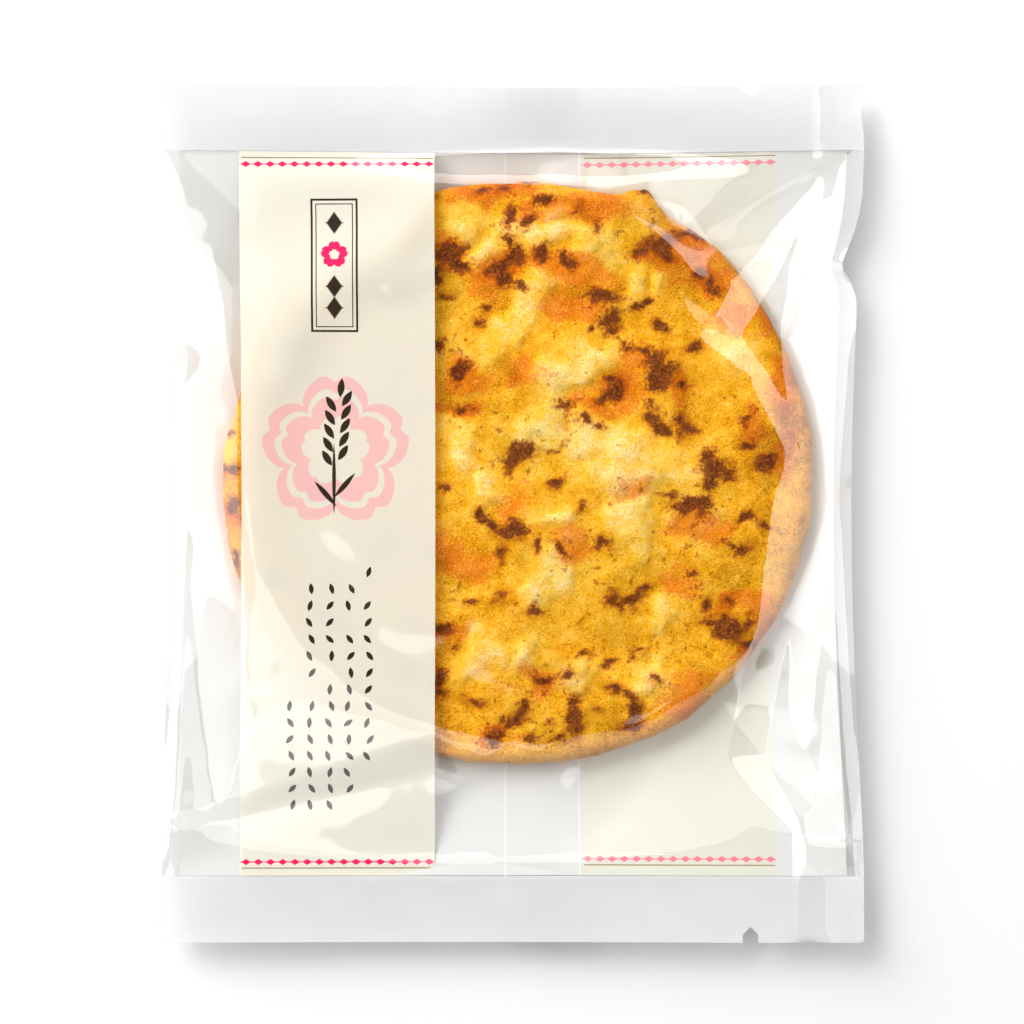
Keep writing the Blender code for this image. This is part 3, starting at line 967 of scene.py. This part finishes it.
# A blossom has five rounded petals, each with a small nick in its end.
blossom_group, at = new_group("blossom", ("X", "Y", "Centre X", "Centre Y", "Radius"), ("Mask",))
blossom_x = maths(blossom_group, "SUBTRACT", at["X"], at["Centre X"])
blossom_y = maths(blossom_group, "SUBTRACT", at["Y"], at["Centre Y"])
bearing = maths(blossom_group, "ARCTAN2", blossom_x, blossom_y)
swing = maths(blossom_group, "COSINE", maths(blossom_group, "MULTIPLY", bearing, 2.5))
petal = maths(blossom_group, "ABSOLUTE", swing)
reach = maths(blossom_group, "MULTIPLY_ADD", maths(blossom_group, "POWER", petal, 0.6), 0.30, 0.70)
nick = maths(blossom_group, "POWER", petal, 40)
reach = maths(blossom_group, "MULTIPLY_ADD", nick, -0.09, reach)
reach = maths(blossom_group, "MULTIPLY", reach, at["Radius"])
squares = maths(
    blossom_group,
    "ADD",
    maths(blossom_group, "MULTIPLY", blossom_x, blossom_x),
    maths(blossom_group, "MULTIPLY", blossom_y, blossom_y),
)
past = maths(blossom_group, "SUBTRACT", reach, maths(blossom_group, "SQRT", squares))
petals = maths(blossom_group, "MULTIPLY_ADD", past, 1 / (2 * EDGE_BLUR), 0.5, clamp=True)
close_group(blossom_group, "Mask", petals)


def group_mask(tree, group, x, y, *values):
    """The mask that a print group gives at x, y, with its other inputs set in their order."""
    node = add_node(tree, "ShaderNodeGroup", node_tree=group)
    tree.links.new(x, node.inputs["X"])
    tree.links.new(y, node.inputs["Y"])
    for socket, value in zip(list(node.inputs)[2:], values):
        socket.default_value = value
    return node.outputs["Mask"]


def union(tree, *masks):
    """The larger of several masks."""
    whole = masks[0]
    for mask in masks[1:]:
        whole = maths(tree, "MAXIMUM", whole, mask)
    return whole


def without(tree, mask, hole):
    """The mask with a hole cut out of it."""
    return maths(tree, "MULTIPLY", mask, maths(tree, "SUBTRACT", 1, hole))


PRINT_END = HALF_BODY - 0.0001
FIN_LEFT = -0.0015
FIN_RIGHT = 0.0124
FRONT_BAND = (-0.0509, -0.0146)
BACK_BAND = (1.01295, 1.0491)
BACK_WHITE = (0.9380, 1.0620)
FRONT_ROW = (-0.0508, -0.0146)
BACK_ROW = (1.0128, 1.0490)
FRONT_RULE = (-0.0505, -0.0148)
BACK_RULE = (1.0132, 1.0488)
LOZENGE = (0.00227, 0.0019, 0.00115)
ORNAMENT_X = -0.0333
BLOSSOM_Y = 0.0115
PANEL_BLOSSOM_Y = 0.0480

# How much light the milky film and each ink stop, 0 to 1. The last is the least that the back stops
# of a lamp's light, clear parts too, and it gives the pack its soft shadow on the table.
MILKY_COVER = 0.55
STRIP_COVER = 0.30
BAND_COVER = 0.80
WHITE_COVER = 0.93
SMALL_PRINT_COVER = 0.97
FOLDED_COVER = 0.75


def front_print(tree, x, y, ink, cover):
    """The front band: ivory, edged with lozenges, with an ornament down its middle.

    Takes the bare film's colour and cover, and returns (ink, cover, cover for a lamp's light).
    """
    band = group_mask(tree, field_group, x, y, *FRONT_BAND, -PRINT_END, PRINT_END)
    rows = union(
        tree,
        group_mask(tree, row_group, x, y, *FRONT_ROW, 0.0650, *LOZENGE),
        group_mask(tree, row_group, x, y, *FRONT_ROW, -0.0649, *LOZENGE),
    )
    rules = union(
        tree,
        group_mask(tree, field_group, x, y, *FRONT_RULE, 0.06610, 0.06632),
        group_mask(tree, field_group, x, y, *FRONT_RULE, -0.06612, -0.06590),
    )
    # The ornament is an upright panel, a blossom with an ear of rice, and strewn grains.
    panel_lines = without(
        tree,
        group_mask(tree, field_group, x, y, -0.0377, -0.0289, 0.0335, 0.0585),
        group_mask(tree, field_group, x, y, -0.0373, -0.0293, 0.0339, 0.0581),
    )
    inner_lines = without(
        tree,
        group_mask(tree, field_group, x, y, -0.0368, -0.0298, 0.0344, 0.0576),
        group_mask(tree, field_group, x, y, -0.0366, -0.0300, 0.0346, 0.0574),
    )
    panel_marks = [
        group_mask(tree, row_group, x, y, -0.0350, -0.0316, level, 0.0034, 0.0030, 0.0042)
        for level in (0.0540, 0.0420, 0.0380)
    ]
    panel_blossom = without(
        tree,
        group_mask(tree, blossom_group, x, y, ORNAMENT_X, PANEL_BLOSSOM_Y, 0.0026),
        group_mask(tree, blossom_group, x, y, ORNAMENT_X, PANEL_BLOSSOM_Y, 0.0010),
    )
    rings = [
        without(
            tree,
            group_mask(tree, blossom_group, x, y, ORNAMENT_X, BLOSSOM_Y, outer),
            group_mask(tree, blossom_group, x, y, ORNAMENT_X, BLOSSOM_Y, inner),
        )
        for outer, inner in ((0.0142, 0.0118), (0.0104, 0.0066))
    ]
    # The ear's stalk, grains and leaves are grains of its own: centre x and y, turn, length, width.
    ear = [(-0.0336, 0.0064, 1.57, 0.0135, 0.0007)]
    for index in range(5):
        level = 0.0102 + index * 0.0025
        lean = 0.0002 * index
        ear.append((-0.0349 + lean, level, 2.15, 0.0034, 0.0013))
        ear.append((-0.0319 + lean, level + 0.0010, 0.99, 0.0034, 0.0013))
    ear.append((-0.0322, 0.0232, 1.45, 0.0036, 0.0013))
    ear.append((-0.0352, 0.0036, 2.30, 0.0062, 0.0010))
    ear.append((-0.0316, 0.0052, 0.85, 0.0060, 0.0010))
    ear_print = union(tree, *[group_mask(tree, grain_group, x, y, *grain) for grain in ear])
    strewn = add_node(tree, "ShaderNodeGroup", {0: x, 1: y, 2: 0.0036, 3: 0.0031}, node_tree=strewn_group)
    strewn_fields = union(
        tree,
        group_mask(tree, field_group, x, y, -0.0396, -0.0288, -0.0558, -0.0124),
        group_mask(tree, field_group, x, y, -0.0288, -0.0252, -0.0465, -0.0093),
        group_mask(tree, field_group, x, y, -0.0432, -0.0396, -0.0558, -0.0341),
    )
    strewn_print = maths(tree, "MULTIPLY", strewn.outputs[0], strewn_fields)
    dark_print = union(tree, panel_lines, inner_lines, *panel_marks, ear_print, strewn_print)
    ink = mix(tree, band, ink, IVORY)
    ink = mix(tree, maths(tree, "MULTIPLY", union(tree, *rings), 0.75), ink, SOFT_PINK)
    ink = mix(tree, union(tree, rows, panel_blossom), ink, CRIMSON)
    ink = mix(tree, rules, ink, RULE_INK)
    ink = mix(tree, dark_print, ink, DARK_INK)
    solid = union(tree, cover, maths(tree, "MULTIPLY", band, BAND_COVER))
    small_print = union(tree, rows, rules, dark_print, panel_blossom)
    cover = union(tree, solid, maths(tree, "MULTIPLY", small_print, SMALL_PRINT_COVER))
    return ink, cover, solid


def back_print(tree, x, y, ink, cover):
    """The white back with its ivory band and fin, and painted highlights along the seam's and the fin's
    edges, returned as for the front.
    """
    white = group_mask(tree, field_group, x, y, *BACK_WHITE, -PRINT_END, PRINT_END)
    band = group_mask(tree, field_group, x, y, *BACK_BAND, -PRINT_END, PRINT_END)
    rows = union(
        tree,
        group_mask(tree, row_group, x, y, *BACK_ROW, 0.0655, *LOZENGE),
        group_mask(tree, row_group, x, y, *BACK_ROW, -0.0644, *LOZENGE),
    )
    rules = union(
        tree,
        group_mask(tree, field_group, x, y, *BACK_RULE, 0.06660, 0.06680),
        group_mask(tree, field_group, x, y, *BACK_RULE, -0.06560, -0.06540),
    )
    on_back = maths(tree, "GREATER_THAN", x, 0.5)
    on_fin = maths(tree, "GREATER_THAN", x, 1.5)
    whole_length = (-HALF_LENGTH, HALF_LENGTH)
    fin_middle = (2 + FIN_LEFT + 0.0003, 2 + FIN_RIGHT - 0.0003)
    # The fin's edges and the seam's two lines are made whiter and more opaque: painted highlights
    # standing in for the glints along the film's cut edges.
    fin_edge_glints = without(
        tree, on_fin, group_mask(tree, field_group, x, y, *fin_middle, *whole_length)
    )
    seam_glint_lines = union(
        tree,
        *[
            group_mask(tree, field_group, x, y, 1 + edge - 0.0001, 1 + edge + 0.0001, *whole_length)
            for edge in (FIN_LEFT, FIN_RIGHT)
        ],
    )
    ink = mix(tree, white, ink, WHITE_INK)
    ink = mix(tree, band, ink, IVORY_BACK)
    ink = mix(tree, rows, ink, PALE_CRIMSON)
    ink = mix(tree, rules, ink, RULE_INK)
    # Painted highlights: white ink on the seam's lines, and more cover on them and on the fin's edges.
    ink = mix(tree, maths(tree, "MULTIPLY", seam_glint_lines, 0.5), ink, (1.0, 1.0, 1.0, 1))
    cover = maths(tree, "MULTIPLY", cover, maths(tree, "MULTIPLY_ADD", on_fin, -0.45, 1.0))
    cover = union(tree, cover, maths(tree, "MULTIPLY", seam_glint_lines, 0.85))
    cover = union(tree, cover, maths(tree, "MULTIPLY", fin_edge_glints, 0.7))
    cover = union(tree, cover, maths(tree, "MULTIPLY", without(tree, on_back, on_fin), STRIP_COVER))
    inked = union(tree, cover, maths(tree, "MULTIPLY", white, WHITE_COVER))
    solid = union(tree, inked, maths(tree, "MULTIPLY", on_back, FOLDED_COVER))
    small_print = union(tree, rows, rules)
    cover = union(tree, inked, maths(tree, "MULTIPLY", small_print, SMALL_PRINT_COVER))
    return ink, cover, solid


KNURL_PITCH = 0.00078
KNURL_HEIGHT = 0.000016
RIPPLES_PER_METRE = 38
RIPPLE_HEIGHT = 0.0009
FLAT_MIRRORING = 0.115
SLANTED_MIRRORING = 0.50
CLEAR = (1, 1, 1, 1)
OPAQUE = (0, 0, 0, 1)


def film_finish(name, add_print):
    """The clear film, milky at its sealed ends, with the ink that add_print lays on it."""
    material, tree, surface = new_material(name)
    flat_map = add_node(tree, "ShaderNodeUVMap", uv_map="flat_film")
    flat_place = add_node(tree, "ShaderNodeSeparateXYZ", {0: flat_map.outputs[0]})
    x = flat_place.outputs["X"]
    y = flat_place.outputs["Y"]
    from_end = maths(tree, "SUBTRACT", maths(tree, "ABSOLUTE", y), HALF_BODY)
    in_end = maths(tree, "MULTIPLY_ADD", from_end, 1 / EDGE_BLUR, 0.5, clamp=True)
    milky_cover = maths(tree, "MULTIPLY", in_end, MILKY_COVER)
    ink, cover, solid = add_print(tree, x, y, MILKY_FILM, milky_cover)
    ridges = maths(
        tree,
        "MULTIPLY",
        maths(tree, "SINE", maths(tree, "MULTIPLY", x, 2 * math.pi / KNURL_PITCH)),
        maths(tree, "SINE", maths(tree, "MULTIPLY", y, 2 * math.pi / KNURL_PITCH)),
    )
    knurl = maths(tree, "MULTIPLY", maths(tree, "MULTIPLY", ridges, in_end), KNURL_HEIGHT)
    film_place = add_node(tree, "ShaderNodeTexCoord").outputs["Object"]
    ripples = noise(tree, film_place, RIPPLES_PER_METRE, 2)
    surface_height = maths(tree, "MULTIPLY_ADD", ripples, RIPPLE_HEIGHT, knurl)
    film_bump = add_node(
        tree, "ShaderNodeBump", {"Height": surface_height, "Strength": 1.0, "Distance": 1.0}
    )
    ink_shader = add_node(
        tree,
        "ShaderNodeBsdfPrincipled",
        {"Base Color": ink, "Roughness": 0.45, "Specular IOR Level": 0.0},
    )
    clear = add_node(tree, "ShaderNodeBsdfTransparent", {"Color": CLEAR})
    body = add_node(
        tree, "ShaderNodeMixShader", {0: cover, 1: clear.outputs[0], 2: ink_shader.outputs[0]}
    )
    shine = add_node(
        tree,
        "ShaderNodeBsdfGlossy",
        {"Color": (1, 1, 1, 1), "Roughness": 0.05, "Normal": film_bump.outputs[0]},
    )
    slant = add_node(tree, "ShaderNodeLayerWeight", {"Blend": 0.5, "Normal": film_bump.outputs[0]})
    steep = maths(tree, "POWER", slant.outputs["Facing"], 4)
    mirroring = maths(tree, "MULTIPLY_ADD", steep, SLANTED_MIRRORING, FLAT_MIRRORING)
    seen = add_node(
        tree, "ShaderNodeMixShader", {0: mirroring, 1: body.outputs[0], 2: shine.outputs[0]}
    )
    # A lamp's light is stopped by ink, by the milky ends and by the back, and not by clear film in
    # front of the cracker.
    let_through = mix(tree, solid, CLEAR, OPAQUE)
    lamp_side = add_node(tree, "ShaderNodeBsdfTransparent", {"Color": let_through})
    from_lamp = add_node(tree, "ShaderNodeLightPath").outputs["Is Shadow Ray"]
    whole = add_node(
        tree, "ShaderNodeMixShader", {0: from_lamp, 1: seen.outputs[0], 2: lamp_side.outputs[0]}
    )
    tree.links.new(whole.outputs[0], surface)
    return material


# Faces that reach a little past the front band's edges carry its print, and all others the back's.
BAND_FACES = (-0.0530, -0.0125)
film.data.materials.clear()
film.data.materials.append(film_finish("printed_film", back_print))
film.data.materials.append(film_finish("printed_front_band", front_print))
in_band = []
for polygon in film.data.polygons:
    flat_x = film.data.uv_layers["flat_film"].data[polygon.loop_start].uv[0]
    in_band.append(int(BAND_FACES[0] < flat_x < BAND_FACES[1]))
film.data.polygons.foreach_set("material_index", in_band)
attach(film, "root")
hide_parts("cracker_pack")

# The film's two long edges are joined in a flat fin, folded down against the back. It is a strip
# of the back film, cut to the fin's width, given a thickness and laid just under the back.
FIN_MARGIN = 0.004
FIN_DROP = 0.00016
FIN_THICKNESS = 0.00008
bpy.ops.object.select_all(action="DESELECT")
film.select_set(True)
bpy.context.view_layer.objects.active = film
bpy.ops.object.duplicate()
fin = bpy.context.object
fin.name = "back_fin"
bpy.ops.object.mode_set(mode="EDIT")
bpy.ops.mesh.select_mode(type="FACE")
bpy.ops.mesh.select_all(action="DESELECT")
bpy.ops.object.mode_set(mode="OBJECT")
for polygon in fin.data.polygons:
    middle = fin.data.uv_layers["flat_film"].data[polygon.loop_start].uv[0]
    near_fin = FIN_LEFT - FIN_MARGIN < middle - 1 < FIN_RIGHT + FIN_MARGIN
    polygon.select = not (middle > 0.5 and near_fin)
bpy.ops.object.mode_set(mode="EDIT")
bpy.ops.mesh.delete(type="FACE")
for place, side in ((FIN_LEFT, False), (FIN_RIGHT, True)):
    bpy.ops.mesh.select_all(action="SELECT")
    bpy.ops.mesh.bisect(
        plane_co=(place, 0, 0), plane_no=(1, 0, 0), clear_inner=not side, clear_outer=side
    )
bpy.ops.mesh.select_all(action="SELECT")
bpy.ops.transform.translate(value=(0, 0, -FIN_DROP))
bpy.ops.object.mode_set(mode="OBJECT")
for corner in fin.data.uv_layers["flat_film"].data:
    corner.uv[0] += 1
apply_modifier(fin, "film_thickness", "SOLIDIFY", thickness=FIN_THICKNESS, offset=-1)
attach(fin, "root")

low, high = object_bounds()
